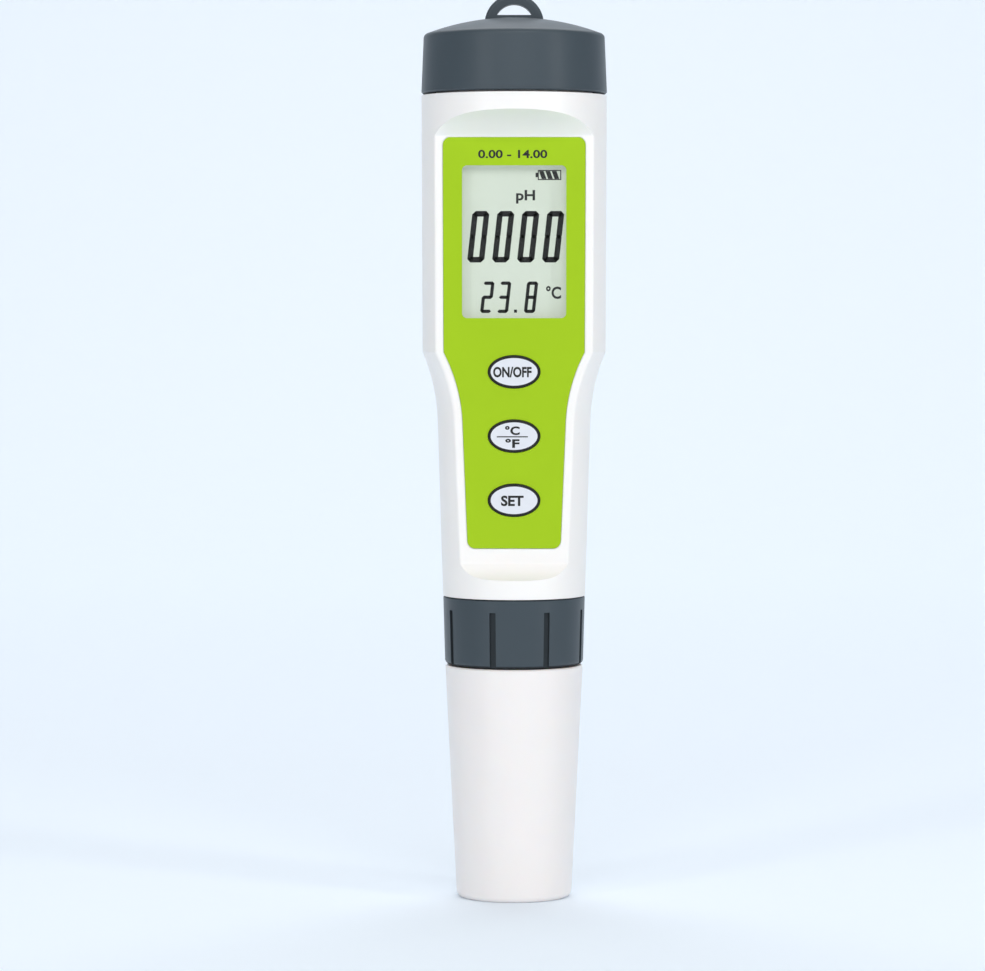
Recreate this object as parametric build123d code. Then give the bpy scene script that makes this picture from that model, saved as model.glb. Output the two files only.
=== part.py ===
from build123d import *

import os
from math import copysign, cos, degrees, hypot, radians, sin, sqrt

# Water quality test pen: millimetres, +Z up, standing on its storage cap.
# The axis of the pen is Z and the display faces -Y.

# Storage cap: the slightly tapered cup that keeps the probe wet
storage_cap_taper = 2.35
storage_cap_floor = 2.0
storage_cap_foot_wall = 1.8
storage_cap_edge = 1.3
sponge_height = 4.0
sponge_clearance = 0.2
probe_foot_gap = 4.5
guard_gap = 0.75

# Locking collar: the ribbed nut that clamps the probe
collar_height = 14.0
collar_drop = 0.38
collar_edge = 1.0
collar_lip = 1.2
lip_overlap = 0.45
groove_count = 8
groove_width = 1.3
groove_depth = 0.45
groove_top_margin = 2.2
groove_first_angle = 27.4

# Body: outline of the moulded housing
waist_radius = 15.7
shoulder_height = 14.0
shoulder_drop = 0.17
wall = 2.0
foot_deck = 2.0
top_deck = 1.6
flat_distance = 10.0
flat_edge_round = 0.7
flat_foot = 7.1
flat_head = 6.0
foot_ramp_rise = 3.2
foot_ramp_radius = 5.4
head_ramp_rise = 5.1
head_ramp_radius = 17.2
head_ramp_overrun = 0.3
head_margin = 3.4

# Face of the housing: keys and display, from the foot upwards
key_width = 10.5
key_height = 6.6
key_pitch = 13.05
key_foot_distance = 20.0
key_travel = 0.45
key_proud = 0.3
key_flange = 0.8
key_flange_margin = 0.8
key_clearance = 0.12
window_width = 21.1
window_height = 30.9
window_above_key = 10.9
waist_above_key = 3.0
label_margin = 1.65
label_foot_margin = 3.1
label_head_margin = 0.3
label_corner = 1.6
label_thickness = 0.35
label_pocket = 0.3
label_clearance = 0.12

# Display stack
lens_thickness = 0.9
lens_border = 1.6
lens_corner = 1.0
glass_border = 1.0
glass_thickness = 0.7
glass_ledge = 3.0
reflector_thickness = 0.3
frame_wall = 0.8
frame_lip = 0.2
frame_lip_border = 0.5
zebra_width = 2.0

# Circuit board and what it carries
board_thickness = 1.6
board_side_gap = 1.5
board_end_margin = 2.5
board_gap = 0.4
switch_side = 6.0
switch_height = 2.6
switch_bore_depth = 1.5
plunger_radius = 1.5
plunger_clearance = 0.1
plunger_reach = 0.7
flange_rest_gap = 0.32
boss_radius = 1.9
board_screw_radius = 0.8
board_screw_inset = 2.9
board_screw_length = 3.5
screw_head_height = 1.2
slot_width = 0.5
slot_depth = 0.4
chip_side = 10.0
chip_thickness = 1.5
component_length = 3.2
component_width = 1.6
component_height = 1.1

# Battery bay: four button cells in a row across the neck
cell_radius = 5.8
cell_thickness = 5.4
cell_rim = 0.4
cell_face_radius = 4.5
cell_count = 4
contact_thickness = 0.3
contact_width = 4.0
contact_rise = 3.5
cradle_wall = 0.5
cradle_floor = 0.5
trough_depth = 2.4
cradle_flange = 1.2
flange_overlap = 0.85
neck_wall = 2.8
neck_boss_radius = 3.2
neck_boss_sink = 0.6
cradle_screw_radius = 1.0
cradle_screw_length = 5.0
cradle_screw_head = 0.8

# Screw lid with its lanyard loop
lid_wall = 2.05
lid_side = 12.0
lid_taper = 0.5
lid_dome = 3.5
lid_roof = 1.2
lid_edge = 1.0
lid_recess_depth = 1.8
lid_recess_margin = 1.0
gasket_thickness = 1.2
gasket_inset = 0.2
loop_radius = 6.05
loop_hole_radius = 4.0
loop_sink = 1.3
loop_thickness = 3.2
loop_edge = 0.7
loop_floor = 0.5
loop_root_cover = 0.4

# Threads of the lid and of the collar
thread_pitch = 3.0
thread_turns = 1.5
thread_root = 1.6
thread_run_in = 0.7
lid_thread_height = 0.75
collar_thread_height = 0.5
thread_clearance = 0.17
thread_slope = 0.93
thread_sink = 0.3

# Probe that the collar holds
spigot_inset = 2.1
spigot_wall = 2.5
plug_height = 8.8
plug_clearance = 0.08
probe_flange = 1.85
boss_length = 11.4
boss_clearance = 0.1
barrel_wall = 1.4
barrel_length = 18.5
barrel_end = 2.0
seal_section = 0.6
seal_clearance = 0.04
pin_radius = 0.5
pin_spacing = 4.0
pin_length = 9.0
pin_embed = 3.0
socket_height = 3.0
socket_wall = 0.4
tail_length = 3.0
stem_radius = 2.95
stem_wall = 0.75
stem_length = 26.0
bulb_radius = 3.4
bulb_drop = 2.7
wire_radius = 0.5
sensor_gap = 0.4
sensor_pin_radius = 0.8
temperature_radius = 1.2
junction_radius = 1.1
junction_reach = 0.2
sensor_reach = 4.0
sensor_embed = 6.0
guard_wall = 1.2
guard_clearance = 0.05
guard_height = 15.5
guard_overhang = 7.5
guard_ring = 2.0
guard_slots = 4
guard_slot_width = 5.0
guard_slot_rise = 0.5

# Fits and seams
seam = 0.2
body_seam = 0.1
lid_gap = 0.4
face_gap = 0.03
snug = 0.05
edge_bevel = 0.3

# Battery bay radii, worked outwards from the cells to the lid
stack_half = cell_count * cell_thickness / 2 + (cell_count + 1) * face_gap / 2
bay_half_length = stack_half + contact_thickness + face_gap
bay_half_width = cell_radius + snug
cradle_radius = hypot(bay_half_length, bay_half_width) + cradle_wall
neck_bore = cradle_radius + 2 * snug
neck_radius = neck_bore + neck_wall
neck_post_offset = neck_bore - neck_boss_radius + neck_boss_sink
lid_bore = neck_radius + lid_thread_height + thread_clearance
lid_radius = lid_bore + lid_wall
body_top_radius = lid_radius - face_gap
kink_radius = body_top_radius - shoulder_drop

# Probe radii, worked outwards from the glass bulb to the foot of the body
sensor_circle = bulb_radius + sensor_gap + temperature_radius
barrel_radius = sensor_circle + temperature_radius + sensor_gap + barrel_wall
guard_bore = barrel_radius + guard_clearance
guard_radius = guard_bore + guard_wall
storage_floor_radius = guard_radius + guard_gap
storage_foot_radius = storage_floor_radius + storage_cap_foot_wall
storage_mouth_radius = storage_foot_radius + storage_cap_taper
collar_foot_radius = storage_mouth_radius + snug
collar_top_radius = collar_foot_radius + collar_drop
body_foot_radius = collar_top_radius + face_gap

# Radii of the joint between probe, collar and body, worked inwards from that foot
spigot_radius = body_foot_radius - spigot_inset
spigot_bore = spigot_radius - spigot_wall
collar_bore = spigot_radius + collar_thread_height + thread_clearance
probe_flange_radius = spigot_radius + snug
lip_bore = probe_flange_radius - lip_overlap
probe_boss_radius = lip_bore - boss_clearance
storage_bore = probe_boss_radius + boss_clearance
plug_radius = spigot_bore - plug_clearance

# Heights from the foot upwards
guard_low = storage_cap_floor + sponge_height + probe_foot_gap
barrel_low = guard_low + guard_overhang
barrel_high = barrel_low + barrel_length
storage_cap_height = barrel_high + boss_length
storage_seal_height = (barrel_high + storage_cap_height) / 2
collar_low = storage_cap_height + seam
collar_high = collar_low + collar_height
flange_low = collar_low + collar_lip + face_gap
flange_high = flange_low + probe_flange
spigot_low = flange_high + face_gap
body_low = collar_high + body_seam
cavity_low = body_low + foot_deck
flat_low = body_low + flat_foot
key_heights = [body_low + key_foot_distance + row * key_pitch for row in range(3)]
waist_height = key_heights[1] + waist_above_key
kink_height = waist_height + shoulder_height
window_low = key_heights[2] + window_above_key
window_high = window_low + window_height
window_middle = (window_low + window_high) / 2
flat_high = window_high + flat_head
body_high = flat_high + head_ramp_rise + head_margin
cavity_high = body_high - top_deck
lid_low = body_high + lid_gap
lid_rim = lid_low + lid_side
lid_apex = lid_rim + lid_dome
lid_ceiling = lid_rim - lid_roof
neck_high = lid_ceiling - gasket_thickness - 2 * face_gap
ledge_height = neck_high - cradle_flange - lid_gap
loop_height = lid_apex - loop_sink
lid_thread_low = body_high + thread_root + thread_run_in
collar_thread_low = spigot_low + thread_root + thread_run_in
thread_length = thread_turns * thread_pitch
thread_ends = (thread_pitch + thread_root) / 2 + snug
lid_thread_length = min(thread_length, neck_high - lid_thread_low - thread_ends)
collar_thread_length = min(thread_length, collar_high - collar_thread_low - thread_ends)
plug_high = flange_high + plug_height
plug_seal_height = (flange_high + plug_high) / 2
trough_low = cavity_high - trough_depth
bay_low = trough_low + cradle_floor
cell_height = bay_low + cell_radius + face_gap

# Depths from the flat face back towards the axis
pocket_face = flat_distance - label_pocket
label_face = pocket_face + label_thickness
key_face = label_face + key_proud
inner_face = flat_distance - wall
flange_face = inner_face - face_gap
plunger_face = flange_face - key_flange - face_gap
switch_face = flange_face - key_flange - key_travel - flange_rest_gap
board_face = switch_face - switch_height
board_back = board_face - board_thickness
board_middle = (board_face + board_back) / 2
glass_face = inner_face - frame_lip - 2 * face_gap
rear_glass_face = glass_face - glass_thickness - face_gap
reflector_face = rear_glass_face - glass_thickness - face_gap
strip_middle = snug - board_back + contact_width / 2

# Board outline, inside the cavity
foot_chord = sqrt((min(body_foot_radius, waist_radius) - wall) ** 2 - board_face**2)
head_chord = sqrt((kink_radius - wall) ** 2 - board_face**2)
board_foot_half = foot_chord - board_side_gap
board_head_half = head_chord - board_side_gap
socket_high = cavity_low + socket_height
board_low = socket_high + board_gap
frame_half_height = window_height / 2 + glass_border + snug + frame_wall
head_screw_height = window_middle + frame_half_height + boss_radius + board_gap
board_high = head_screw_height + board_end_margin
head_screw_offset = min(board_head_half - 2 * board_screw_inset, stack_half - 2 * board_screw_radius - seam)
board_screw_places = [
    (side * (board_foot_half - board_screw_inset), (key_heights[0] + key_heights[1]) / 2)
    for side in (-1, 1)
] + [(side * head_screw_offset, head_screw_height) for side in (-1, 1)]


def tube(outer, inner, low, high):
    """Round tube about the axis of the pen."""
    return Pos(0, 0, low) * extrude(Circle(outer) - Circle(inner), high - low)


def rod(radius, low, high, x=0.0, y=0.0):
    """Round rod parallel to the axis of the pen."""
    return Pos(x, y, low) * extrude(Circle(radius), high - low)


def block(width, depth, low, high, x=0.0, y=0.0):
    """Rectangular block that stands on the height `low`."""
    return Pos(x, y, (low + high) / 2) * Box(width, depth, high - low)


def facing(sketch, face, thickness):
    """Plate whose outline is drawn as seen from the front, from `face` back towards the axis."""
    return extrude(Plane.XZ.offset(face) * sketch, -thickness)


def turned(points):
    """Solid of revolution from a closed outline of (radius, height) points."""
    return revolve(Plane.XZ * make_face(Polyline(*points, close=True)), Axis.Z)


def turned_group(curves):
    """Solid of revolution from a closed outline of lines and arcs."""
    return revolve(Plane.XZ * make_face(Curve() + curves), Axis.Z)


def shoulder_radius(height):
    """Outer radius of the body at a height on the concave shoulder arc."""
    slope = (waist_radius - body_foot_radius) / (waist_height - body_low)
    length = hypot(1, slope)
    along = height - waist_height
    rise = kink_radius - waist_radius
    sag = shoulder_height**2 + rise**2
    arc_radius = sag * length / (2 * (rise - slope * shoulder_height))
    centre_out = arc_radius / length
    centre_up = -arc_radius * slope / length
    return waist_radius + centre_out - sqrt(arc_radius**2 - (along - centre_up) ** 2)


def outer_radius(height):
    """Outer radius of the body at any height."""
    if height <= waist_height:
        share = (height - body_low) / (waist_height - body_low)
        return body_foot_radius + share * (waist_radius - body_foot_radius)
    if height <= kink_height:
        return shoulder_radius(height)
    share = (height - kink_height) / (body_high - kink_height)
    return kink_radius + share * (body_top_radius - kink_radius)


def chord(height):
    """Half width of the flat face at a height."""
    return sqrt(outer_radius(height) ** 2 - flat_distance**2)


def body_form(inset, low, high):
    """Tapered, waisted form of the body, drawn in by `inset`."""
    middle = (waist_height + kink_height) / 2
    foot = (outer_radius(low) - inset, low)
    waist = (waist_radius - inset, waist_height)
    bend = (shoulder_radius(middle) - inset, middle)
    kink = (kink_radius - inset, kink_height)
    head = (outer_radius(high) - inset, high)
    return turned_group([
        Line((0, low), foot),
        Line(foot, waist),
        ThreePointArc(waist, bend, kink),
        Line(kink, head),
        Line(head, (0, high)),
        Line((0, high), (0, low)),
    ])


def scoop():
    """The cut that leaves the flat face, with a scooped ramp at its foot and its head."""
    deep = flat_distance
    far = 1.5 * body_top_radius
    foot_run = sqrt(foot_ramp_radius**2 - (foot_ramp_radius - foot_ramp_rise) ** 2)
    foot_edge = (-deep - foot_run, flat_low - foot_ramp_rise)
    head_edge = (-body_top_radius - head_ramp_overrun, flat_high + head_ramp_rise)
    foot = (-deep, flat_low)
    head = (-deep, flat_high)
    outline = make_face(Curve() + [
        Line(foot, head),
        RadiusArc(head, head_edge, -head_ramp_radius),
        Line(head_edge, (-far, head_edge[1])),
        Line((-far, head_edge[1]), (-far, foot_edge[1])),
        Line((-far, foot_edge[1]), foot_edge),
        RadiusArc(foot_edge, foot, -foot_ramp_radius),
    ])
    width = 2 * far
    return Pos(-width / 2, 0, 0) * extrude(Plane.YZ * outline, width)


def ridge(radius, height, low, length, inward):
    """One helical thread ridge that stands out of, or into, a wall of the given radius."""
    sign = -1 if inward else 1
    half_crest = (thread_root - thread_slope * height) / 2
    half_sunk = (thread_root + thread_slope * thread_sink) / 2
    section = make_face(Polyline(
        (radius - sign * thread_sink, -half_sunk),
        (radius + sign * height, -half_crest),
        (radius + sign * height, half_crest),
        (radius - sign * thread_sink, half_sunk),
        close=True,
    ))
    path = Helix(pitch=thread_pitch, height=length, radius=radius)
    return Pos(0, 0, low) * sweep(Plane.XZ * section, path=path, is_frenet=True)


def oval(width, height, margin=0.0):
    """Oval outline of a key, drawn out by a margin."""
    return Ellipse(width / 2 + margin, height / 2 + margin)


def key_ovals(margin):
    """The three key outlines in their places on the face."""
    return [Pos(0, height) * oval(key_width, key_height, margin) for height in key_heights]


def label_outline(margin):
    """Outline of the label: it follows the edge of the flat face down past the waist."""
    low = flat_low + label_foot_margin - margin
    high = flat_high - label_head_margin + margin
    inset = label_margin - margin
    middle = (waist_height + kink_height) / 2
    right = [
        (chord(low) - inset, low),
        (chord(waist_height) - inset, waist_height),
        (chord(middle) - inset, middle),
        (chord(kink_height) - inset, kink_height),
        (chord(high) - inset, high),
    ]
    left = [(-x, z) for x, z in right]
    face = make_face(Curve() + [
        Line(left[0], right[0]),
        Line(right[0], right[1]),
        ThreePointArc(right[1], right[2], right[3]),
        Line(right[3], right[4]),
        Line(right[4], left[4]),
        Line(left[4], left[3]),
        ThreePointArc(left[3], left[2], left[1]),
        Line(left[1], left[0]),
    ])
    corners = face.vertices().filter_by(lambda v: v.Y < low + 0.1 or v.Y > high - 0.1)
    return fillet(corners, label_corner + margin)


def window_outline(border, corner):
    """Rounded rectangle about the middle of the display."""
    width = window_width + 2 * border
    height = window_height + 2 * border
    return Pos(0, window_middle) * RectangleRounded(width, height, corner)


def main_housing():
    """White moulded housing: waisted tube with a flat face, a neck and a threaded spigot."""
    shell = body_form(0, body_low, body_high) - scoop()
    rim = shell.faces().filter_by(Plane.XZ).sort_by(Axis.Y)[0].outer_wire().edges()
    sides = rim.filter_by(lambda e: e.length > flat_foot)
    shell = fillet(sides, flat_edge_round)
    far = 2 * body_top_radius
    room = body_form(wall, cavity_low, cavity_high)
    room &= block(far, far, cavity_low, cavity_high, y=far / 2 - inner_face)
    shell -= room
    shell += tube(neck_radius, neck_bore, body_high, neck_high)
    shell -= rod(neck_bore, cavity_high - snug, body_high + snug)
    shell += tube(spigot_radius, spigot_bore, spigot_low, body_low)
    shell -= rod(spigot_bore, spigot_low, cavity_low + snug)
    for side in (-1, 1):
        post = rod(neck_boss_radius, cavity_high, ledge_height, y=side * neck_post_offset)
        shell += post & rod(neck_radius - snug, cavity_high, ledge_height)
        pilot_low = ledge_height - cradle_screw_length - 1
        shell -= rod(cradle_screw_radius, pilot_low, ledge_height, y=side * neck_post_offset)
    shell -= rod(neck_bore + flange_overlap + snug, ledge_height, neck_high)
    for x, z in board_screw_places:
        post = Pos(x, z) * Circle(boss_radius)
        shell += facing(post, inner_face + wall / 2, inner_face + wall / 2 - board_face)
        shell -= facing(Pos(x, z) * Circle(board_screw_radius), inner_face, inner_face - board_face)
    shell -= facing(label_outline(label_clearance), flat_distance, label_pocket)
    shell -= facing(window_outline(lens_border + snug, lens_corner), pocket_face, lens_thickness)
    shell -= facing(window_outline(glass_border / 2, lens_corner / 2), pocket_face, wall)
    for hole in key_ovals(key_clearance):
        shell -= facing(hole, pocket_face, wall)
    shell += ridge(neck_radius, lid_thread_height, lid_thread_low, lid_thread_length, False)
    low = collar_thread_low
    return shell + ridge(spigot_radius, collar_thread_height, low, collar_thread_length, False)


def front_label():
    """Green face label, with openings for the window and the keys."""
    sheet = label_outline(0) - window_outline(0, lens_corner)
    for hole in key_ovals(key_clearance):
        sheet -= hole
    return facing(sheet, label_face, label_thickness)


def display_window():
    """Clear lens plate that sits in a step of the housing under the label."""
    outline = window_outline(lens_border, lens_corner)
    return facing(outline, pocket_face - face_gap, lens_thickness - face_gap)


def display_frame():
    """Moulded frame that holds the display glass against the inside of the face."""
    face = inner_face - face_gap
    outer = window_outline(glass_border + snug + frame_wall, frame_wall)
    inner = window_outline(glass_border + snug, frame_wall / 2)
    opening = window_outline(frame_lip_border, frame_wall / 2)
    frame = facing(outer - inner, face, face - board_face - face_gap)
    return frame + facing(outer - opening, face, frame_lip)


def glass_plate(face, thickness, ledge):
    """One glass of the display; `ledge` shortens it at the foot."""
    width = window_width + 2 * glass_border
    height = window_height + 2 * glass_border - ledge
    outline = Pos(0, window_middle + ledge / 2) * RectangleRounded(width, height, frame_wall / 2)
    return facing(outline, face, thickness)


def zebra_connector():
    """Striped rubber strip between the ledge of the front glass and the board."""
    ledge_middle = window_low - glass_border + glass_ledge / 2
    outline = Pos(0, ledge_middle) * Rectangle(window_width, zebra_width)
    face = glass_face - glass_thickness - face_gap
    return facing(outline, face, face - board_face - face_gap)


def main_board():
    """Circuit board, narrow between the keys and wide behind the display."""
    half = make_face(Polyline(
        (-board_foot_half, board_low),
        (board_foot_half, board_low),
        (board_foot_half, kink_height),
        (board_head_half, kink_height + board_head_half - board_foot_half),
        (board_head_half, board_high),
        (-board_head_half, board_high),
        (-board_head_half, kink_height + board_head_half - board_foot_half),
        (-board_foot_half, kink_height),
        close=True,
    ))
    for x, z in board_screw_places:
        half -= Pos(x, z) * Circle(board_screw_radius + snug)
    return facing(half, board_face - face_gap, board_thickness - face_gap)


def controller_chip():
    """Flat square chip on the back of the board, with a bevelled lid."""
    outline = Pos(0, window_middle) * Rectangle(chip_side, chip_side)
    chip = facing(outline, board_back - face_gap, chip_thickness)
    return chamfer(chip.faces().sort_by(Axis.Y)[-1].edges(), edge_bevel)


def board_components():
    """Two columns of small surface parts on the back of the board."""
    small = Rectangle(component_length, component_width)
    column = chip_side / 2 + component_length
    rows = [window_middle + 3 * step * component_width for step in (-2, -1, 0, 1, 2)]
    places = [(side * column, height) for side in (-1, 1) for height in rows]
    return Part() + [
        facing(Pos(x, z) * small, board_back - face_gap, component_height) for x, z in places
    ]


def key_switches():
    """Three tact switch housings on the board, one behind each key."""
    switches = []
    for height in key_heights:
        body = facing(Pos(0, height) * Rectangle(switch_side, switch_side), switch_face, switch_height)
        bore = Pos(0, height) * Circle(plunger_radius + plunger_clearance)
        switches.append(body - facing(bore, switch_face, switch_bore_depth))
    return Part() + switches


def board_screws():
    """Four screws that hold the board on the posts of the housing."""
    screws = []
    for x, z in board_screw_places:
        shaft = Pos(x, z) * Circle(board_screw_radius - face_gap)
        shank = facing(shaft, board_back + board_screw_length, board_screw_length + 2 * face_gap)
        face = board_back - face_gap
        head = facing(Pos(x, z) * Circle(2 * board_screw_radius), face, screw_head_height)
        slot = Pos(x, z) * Rectangle(4 * board_screw_radius, slot_width)
        screws.append(shank + head - facing(slot, face - screw_head_height + slot_depth, slot_depth))
    return Part() + screws


def key_cap(height):
    """Oval key: its face stands out of the label and its flange stops behind the wall."""
    stem = facing(Pos(0, height) * oval(key_width, key_height), key_face, key_face - flange_face)
    stem = fillet(stem.faces().sort_by(Axis.Y)[0].edges(), key_proud / 2)
    flange = facing(Pos(0, height) * oval(key_width, key_height, key_flange_margin), flange_face, key_flange)
    return stem + flange


def key_plunger(height):
    """Plunger of a tact switch, pressed by the flange of its key."""
    length = plunger_face - switch_face + plunger_reach
    return facing(Pos(0, height) * Circle(plunger_radius), plunger_face, length)


def battery_cradle():
    """Tray in the neck: a screwed flange and a trough for the row of cells."""
    flange_high = ledge_height + cradle_flange
    trough = block(2 * cradle_radius, 2 * (bay_half_width + cradle_wall), trough_low, flange_high)
    trough &= rod(cradle_radius, trough_low, flange_high)
    cradle = trough + rod(neck_bore + flange_overlap, ledge_height + face_gap / 3, flange_high)
    cradle -= block(2 * bay_half_length, 2 * bay_half_width, bay_low, flange_high)
    strip = contact_width + 2 * snug
    for side in (-1, 1):
        x = side * (bay_half_length - contact_thickness / 2)
        cradle -= block(contact_thickness + 2 * snug, strip, trough_low, bay_low, x, strip_middle)
        cradle -= rod(cradle_screw_radius + snug, ledge_height, flange_high, y=side * neck_post_offset)
    return cradle


def cradle_screws():
    """Two screws through the flange of the tray."""
    screws = []
    top = ledge_height + cradle_flange + face_gap
    for place in (-neck_post_offset, neck_post_offset):
        shank = rod(cradle_screw_radius - face_gap, ledge_height - cradle_screw_length, top, y=place)
        head = rod(2 * cradle_screw_radius, top, top + cradle_screw_head, y=place)
        slot = block(4 * cradle_screw_radius, slot_width, top + slot_depth, top + cradle_screw_head, y=place)
        screws.append(shank + head - slot)
    return Part() + screws


def battery_cell(number):
    """Button cell: a can with a smaller, raised negative face towards +X."""
    start = -stack_half + face_gap / 2 + number * (cell_thickness + face_gap)
    can = extrude(Circle(cell_radius), cell_thickness - cell_rim)
    can = chamfer(can.edges().filter_by(GeomType.CIRCLE), cell_rim / 2)
    can += Pos(0, 0, cell_thickness - cell_rim) * extrude(Circle(cell_face_radius), cell_rim)
    return Pos(start, 0, cell_height) * Rot(0, 90, 0) * can


def battery_contact(side):
    """Flat spring strip beside the row of cells, down to the back of the board."""
    x = side * (stack_half + contact_thickness / 2 + face_gap / 2)
    high = cell_height + contact_rise
    strip = block(contact_thickness, contact_width, board_high - board_end_margin, high, x, strip_middle)
    return chamfer(strip.faces().sort_by(Axis.Z)[-1].edges().filter_by(Axis.X), contact_width / 4)


def pin_places():
    """Two rows of three pins, one row on each side of the board edge."""
    step = board_thickness / 2 + face_gap + socket_wall + pin_radius
    return [(col * pin_spacing, -board_middle + row * step) for row in (-1, 1) for col in (-1, 0, 1)]


def socket_block():
    """Round moulding on the foot deck that holds the socket contacts."""
    block_radius = body_foot_radius - wall - snug
    plate = rod(block_radius, cavity_low + face_gap, socket_high)
    far = 2 * block_radius
    plate &= Pos(0, far / 2 - inner_face + snug, socket_high) * Box(far, far, far)
    for x, y in pin_places():
        plate -= rod(pin_radius + socket_wall + face_gap, cavity_low, socket_high, x, y)
    return plate


def socket_contacts():
    """Six tube contacts, each with a tail that lies along the board."""
    contacts = []
    for x, y in pin_places():
        inward = copysign(pin_radius + socket_wall / 2, -board_middle - y)
        sleeve = rod(pin_radius + socket_wall, cavity_low + face_gap, socket_high, x, y)
        sleeve -= rod(pin_radius + face_gap, cavity_low, socket_high, x, y)
        tail = block(2 * pin_radius, socket_wall, socket_high, socket_high + tail_length, x, y + inward)
        contacts.append(sleeve + tail)
    return Part() + contacts


def seal_groove(radius, height, clearance):
    """Groove for a round seal whose outside runs in a bore of the given radius."""
    half_width = seal_section + clearance
    return tube(radius + 1, radius - 2 * half_width, height - half_width, height + half_width)


def seal_ring(bore, height):
    """Round rubber seal that fills its bore but for a running clearance."""
    centre = bore - seal_clearance - seal_section
    return Pos(0, 0, height) * Torus(centre, seal_section)


def sensor_places():
    """Places of the sensors round the glass bulb: two pins, the junction and the tip."""
    return [(sensor_circle * cos(radians(a)), sensor_circle * sin(radians(a))) for a in (0, 180, 90, 270)]


def electrode_housing():
    """Probe body: plug, clamped flange, boss for the storage cap and hollow barrel."""
    probe = turned([
        (0, barrel_low), (barrel_radius, barrel_low), (barrel_radius, barrel_high),
        (probe_boss_radius, barrel_high), (probe_boss_radius, flange_low),
        (probe_flange_radius, flange_low), (probe_flange_radius, flange_high),
        (plug_radius, flange_high), (plug_radius, plug_high), (0, plug_high),
    ])
    probe -= rod(barrel_radius - barrel_wall, barrel_low + barrel_end, flange_low)
    probe -= seal_groove(spigot_bore, plug_seal_height, seal_clearance)
    probe -= seal_groove(storage_bore, storage_seal_height, seal_clearance)
    for x, y in pin_places():
        probe -= rod(pin_radius + face_gap / 3, plug_high - pin_embed, plug_high, x, y)
    probe -= rod(stem_radius + face_gap, barrel_low, barrel_low + barrel_end)
    radii = [sensor_pin_radius, sensor_pin_radius, junction_radius, temperature_radius]
    for (x, y), radius in zip(sensor_places(), radii):
        probe -= rod(radius + face_gap / 3, barrel_low, barrel_low + barrel_end, x, y)
    return probe


def plug_pins():
    """Six gold-plated pins of the plug."""
    low = plug_high - pin_embed
    pins = [rod(pin_radius, low, low + pin_length, x, y) for x, y in pin_places()]
    return Part() + [chamfer(pin.faces().sort_by(Axis.Z)[-1].edges(), pin_radius / 2) for pin in pins]


def glass_electrode():
    """Glass stem with its thin bulb, closed at the top."""
    bulb_centre = barrel_low - bulb_drop
    outside = rod(stem_radius, bulb_centre, barrel_low + stem_length)
    outside += Pos(0, 0, bulb_centre) * Sphere(bulb_radius)
    inside = rod(stem_radius - stem_wall, bulb_centre, barrel_low + stem_length - stem_wall)
    inside += Pos(0, 0, bulb_centre) * Sphere(bulb_radius - stem_wall / 2)
    return outside - inside


def silver_wire():
    """Silver wire inside the glass stem."""
    return rod(wire_radius, barrel_low - bulb_drop, barrel_low + stem_length - stem_wall - face_gap)


def sensor_rod(radius, place, reach):
    """One rod through the end of the barrel."""
    x, y = sensor_places()[place]
    low = barrel_low - reach
    end = rod(radius, low, barrel_low + sensor_embed, x, y)
    return chamfer(end.faces().sort_by(Axis.Z)[0].edges(), radius / 3)


def conductivity_pins():
    """Two bare pins that measure conductivity."""
    return Part() + [sensor_rod(sensor_pin_radius, place, sensor_reach) for place in (0, 1)]


def probe_guard():
    """Slotted sleeve that grips the barrel and shields the glass bulb."""
    guard = tube(guard_radius, guard_bore, guard_low, guard_low + guard_height)
    for index in range(guard_slots // 2):
        cut = block(3 * guard_radius, guard_slot_width, guard_low + guard_ring, barrel_low + guard_slot_rise)
        guard -= Rot(0, 0, 45 + index * 360 / guard_slots) * cut
    return guard + tube(guard_bore + snug, guard_bore - guard_wall, guard_low, guard_low + guard_ring / 2)


def locking_collar():
    """Clamping nut with grooves that run out at its foot and a thread ridge inside."""
    shell = turned([
        (lip_bore, collar_low), (collar_foot_radius, collar_low),
        (collar_top_radius, collar_high), (collar_bore, collar_high),
        (collar_bore, collar_low + collar_lip), (lip_bore, collar_low + collar_lip),
    ])
    foot = shell.edges().filter_by(GeomType.CIRCLE).filter_by_position(Axis.Z, collar_low, collar_low)
    shell = fillet(foot.sort_by(SortBy.RADIUS)[-1], collar_edge)
    head = shell.edges().filter_by(GeomType.CIRCLE).filter_by_position(Axis.Z, collar_high, collar_high)
    shell = chamfer(head.sort_by(SortBy.RADIUS)[-1], edge_bevel)
    groove_length = collar_height - groove_top_margin
    groove = block(2 * groove_depth, groove_width, collar_low - 1, collar_low + groove_length)
    groove = Pos(collar_top_radius, 0, 0) * groove
    lean = degrees(collar_drop / collar_height)
    for index in range(groove_count):
        turn = Rot(0, 0, groove_first_angle - 90 + index * 360 / groove_count)
        shell -= turn * Pos(0, 0, collar_high) * Rot(0, lean, 0) * Pos(0, 0, -collar_high) * groove
    low = collar_thread_low + thread_pitch / 2
    return shell + ridge(collar_bore, collar_thread_height, low, collar_thread_length, True)


def storage_cap():
    """Tapered cup that slides over the boss of the probe."""
    cup = turned([
        (0, 0), (storage_foot_radius, 0), (storage_mouth_radius, storage_cap_height),
        (storage_bore, storage_cap_height), (storage_bore, barrel_high - 1),
        (storage_floor_radius, storage_cap_floor), (0, storage_cap_floor),
    ])
    foot = cup.edges().filter_by(GeomType.CIRCLE).filter_by_position(Axis.Z, 0, 0)
    cup = fillet(foot, storage_cap_edge)
    mouth = cup.edges().filter_by(GeomType.CIRCLE)
    mouth = mouth.filter_by_position(Axis.Z, storage_cap_height, storage_cap_height)
    return chamfer(mouth, edge_bevel)


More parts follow.
